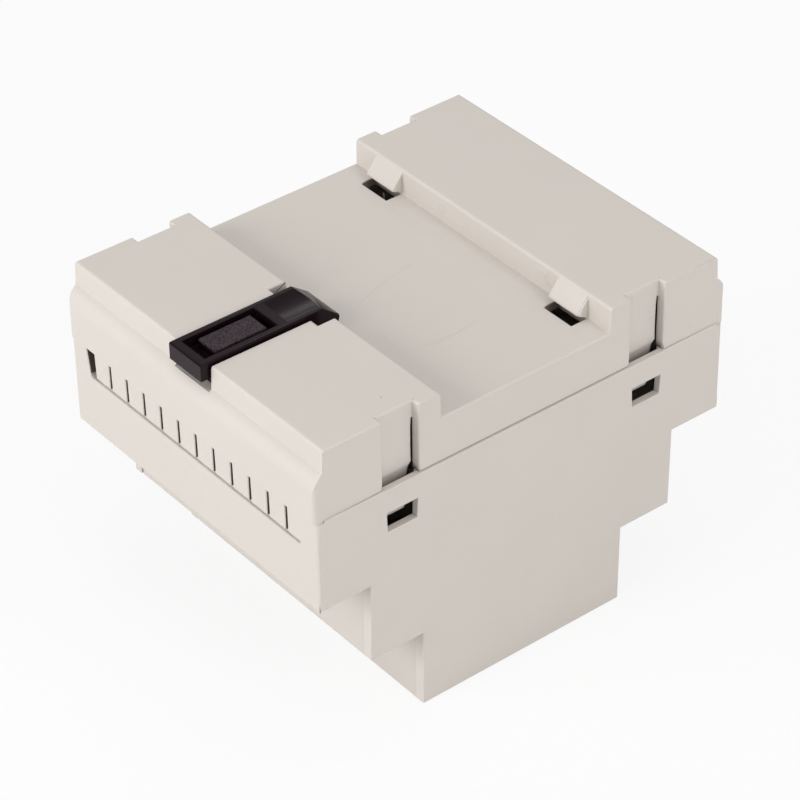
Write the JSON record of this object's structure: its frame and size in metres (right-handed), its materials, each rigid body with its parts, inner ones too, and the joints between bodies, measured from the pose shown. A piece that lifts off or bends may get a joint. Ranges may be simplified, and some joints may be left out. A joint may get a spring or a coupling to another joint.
{
  "type": "din rail enclosure",
  "caption": "Empty stepped plastic housing that hooks and clips onto a 35 mm top-hat rail, with break-out tabs in its end walls.",
  "frame": {"origin": "under the middle of the front face, at the lowest level, as the part lies on its front face", "axes": "+X along the rail, +Y across the rail towards the fixed hooks, +Z from the front face to the rail side"},
  "size_m": [0.07, 0.09, 0.066],
  "materials": {
    "shell_plastic": "light warm grey moulded plastic, fine satin texture",
    "cover_plastic": "light warm grey moulded plastic, fine satin texture",
    "clip_plastic": "black moulded plastic, semi-gloss, with a spark-eroded pad"
  },
  "bodies": {
    "enclosure": {"rear_base": "shell_plastic", "front_housing": "shell_plastic", "front_panel": "cover_plastic", "clip_side_outer_cover": "cover_plastic", "clip_side_inner_cover": "cover_plastic", "hook_side_outer_cover": "cover_plastic", "hook_side_inner_cover": "cover_plastic"},
    "clip": {"rail_clip": "clip_plastic"}
  },
  "joints": [
    {"name": "clip_slide", "type": "slide", "parent": "enclosure", "child": "clip", "axis": [0, -1, 0], "range_m": [0, 0.0035], "stiffness_N_per_m": 2000, "springref_m": -0.001}
  ]
}
